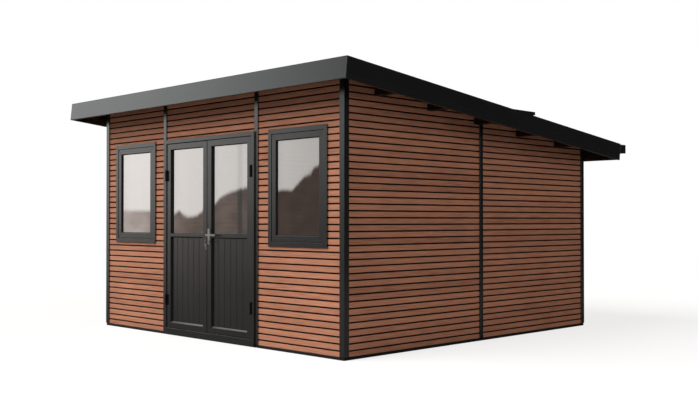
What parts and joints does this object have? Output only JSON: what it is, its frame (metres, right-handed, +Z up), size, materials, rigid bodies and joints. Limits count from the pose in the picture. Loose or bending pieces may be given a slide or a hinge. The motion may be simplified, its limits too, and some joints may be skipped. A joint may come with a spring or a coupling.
{
  "type": "garden shed",
  "caption": "Single-pitch garden shed with walls of horizontal composite slats between dark metal posts, a glazed double door, fixed windows and a wide flat roof edge.",
  "frame": {"origin": "middle of the wall footprint (across the corner posts), on the ground plane", "axes": "+X to the right seen from the front, +Y to the back, +Z up; the front with the doors faces -Y"},
  "size_m": [4.4, 4.4367, 2.48],
  "materials": {
    "slats": "matt brown wood-composite slats",
    "frame": "anthracite powder coat, semi-gloss",
    "roof": "dark sheet, matt",
    "gutter": "anthracite powder coat, semi-gloss",
    "base": "black, matt",
    "floor": "matt floor boards",
    "glass": "clear glass",
    "black_hardware": "black, satin",
    "silver": "satin steel"
  },
  "bodies": {
    "shed": {"base_frame": "base", "floor_deck": "floor", "front_wall_left": "slats", "front_wall_right": "slats", "front_wall_over_door": "slats", "right_wall_front": "slats", "right_wall_back": "slats", "left_wall_front": "slats", "left_wall_back": "slats", "back_wall_left": "slats", "back_wall_right": "slats", "front_left_post": "frame", "front_right_post": "frame", "back_left_post": "frame", "back_right_post": "frame", "left_door_post": "frame", "right_door_post": "frame", "left_middle_post": "frame", "right_middle_post": "frame", "back_middle_post": "frame", "door_frame": "frame", "left_jamb_hinges": "black_hardware", "right_jamb_hinges": "black_hardware", "left_window_frame": "frame", "left_window_sash": "frame", "left_window_glass": "glass", "right_window_frame": "frame", "right_window_sash": "frame", "right_window_glass": "glass", "roof_deck": "roof", "purlins": "frame", "front_fascia": "frame", "rear_fascia": "frame", "left_fascia": "frame", "right_fascia": "frame", "gutter": "gutter", "downpipe": "gutter", "roof_vent": "roof"},
    "left_door": {"left_door_leaf": "frame", "left_door_glass": "glass", "left_door_panel": "frame", "left_door_hinges": "black_hardware"},
    "right_door": {"right_door_leaf": "frame", "right_door_glass": "glass", "right_door_panel": "frame", "right_door_hinges": "black_hardware", "handle_plates": "silver"},
    "door_lever": {"door_lever": "silver"}
  },
  "joints": [
    {"name": "left_door_hinge", "type": "hinge", "parent": "shed", "child": "left_door", "pos_m": [-0.6875, -1.909, 0], "axis": [0, 0, -1], "range_deg": [0, 110]},
    {"name": "right_door_hinge", "type": "hinge", "parent": "shed", "child": "right_door", "pos_m": [0.6875, -1.909, 0], "axis": [0, 0, 1], "range_deg": [0, 110]},
    {"name": "lever_turn", "type": "hinge", "parent": "right_door", "child": "door_lever", "pos_m": [0.0355, -1.893, 1.03], "axis": [0, 1, 0], "range_deg": [0, 40], "stiffness_Nm_per_rad": 0.6, "springref_deg": -34.38}
  ]
}
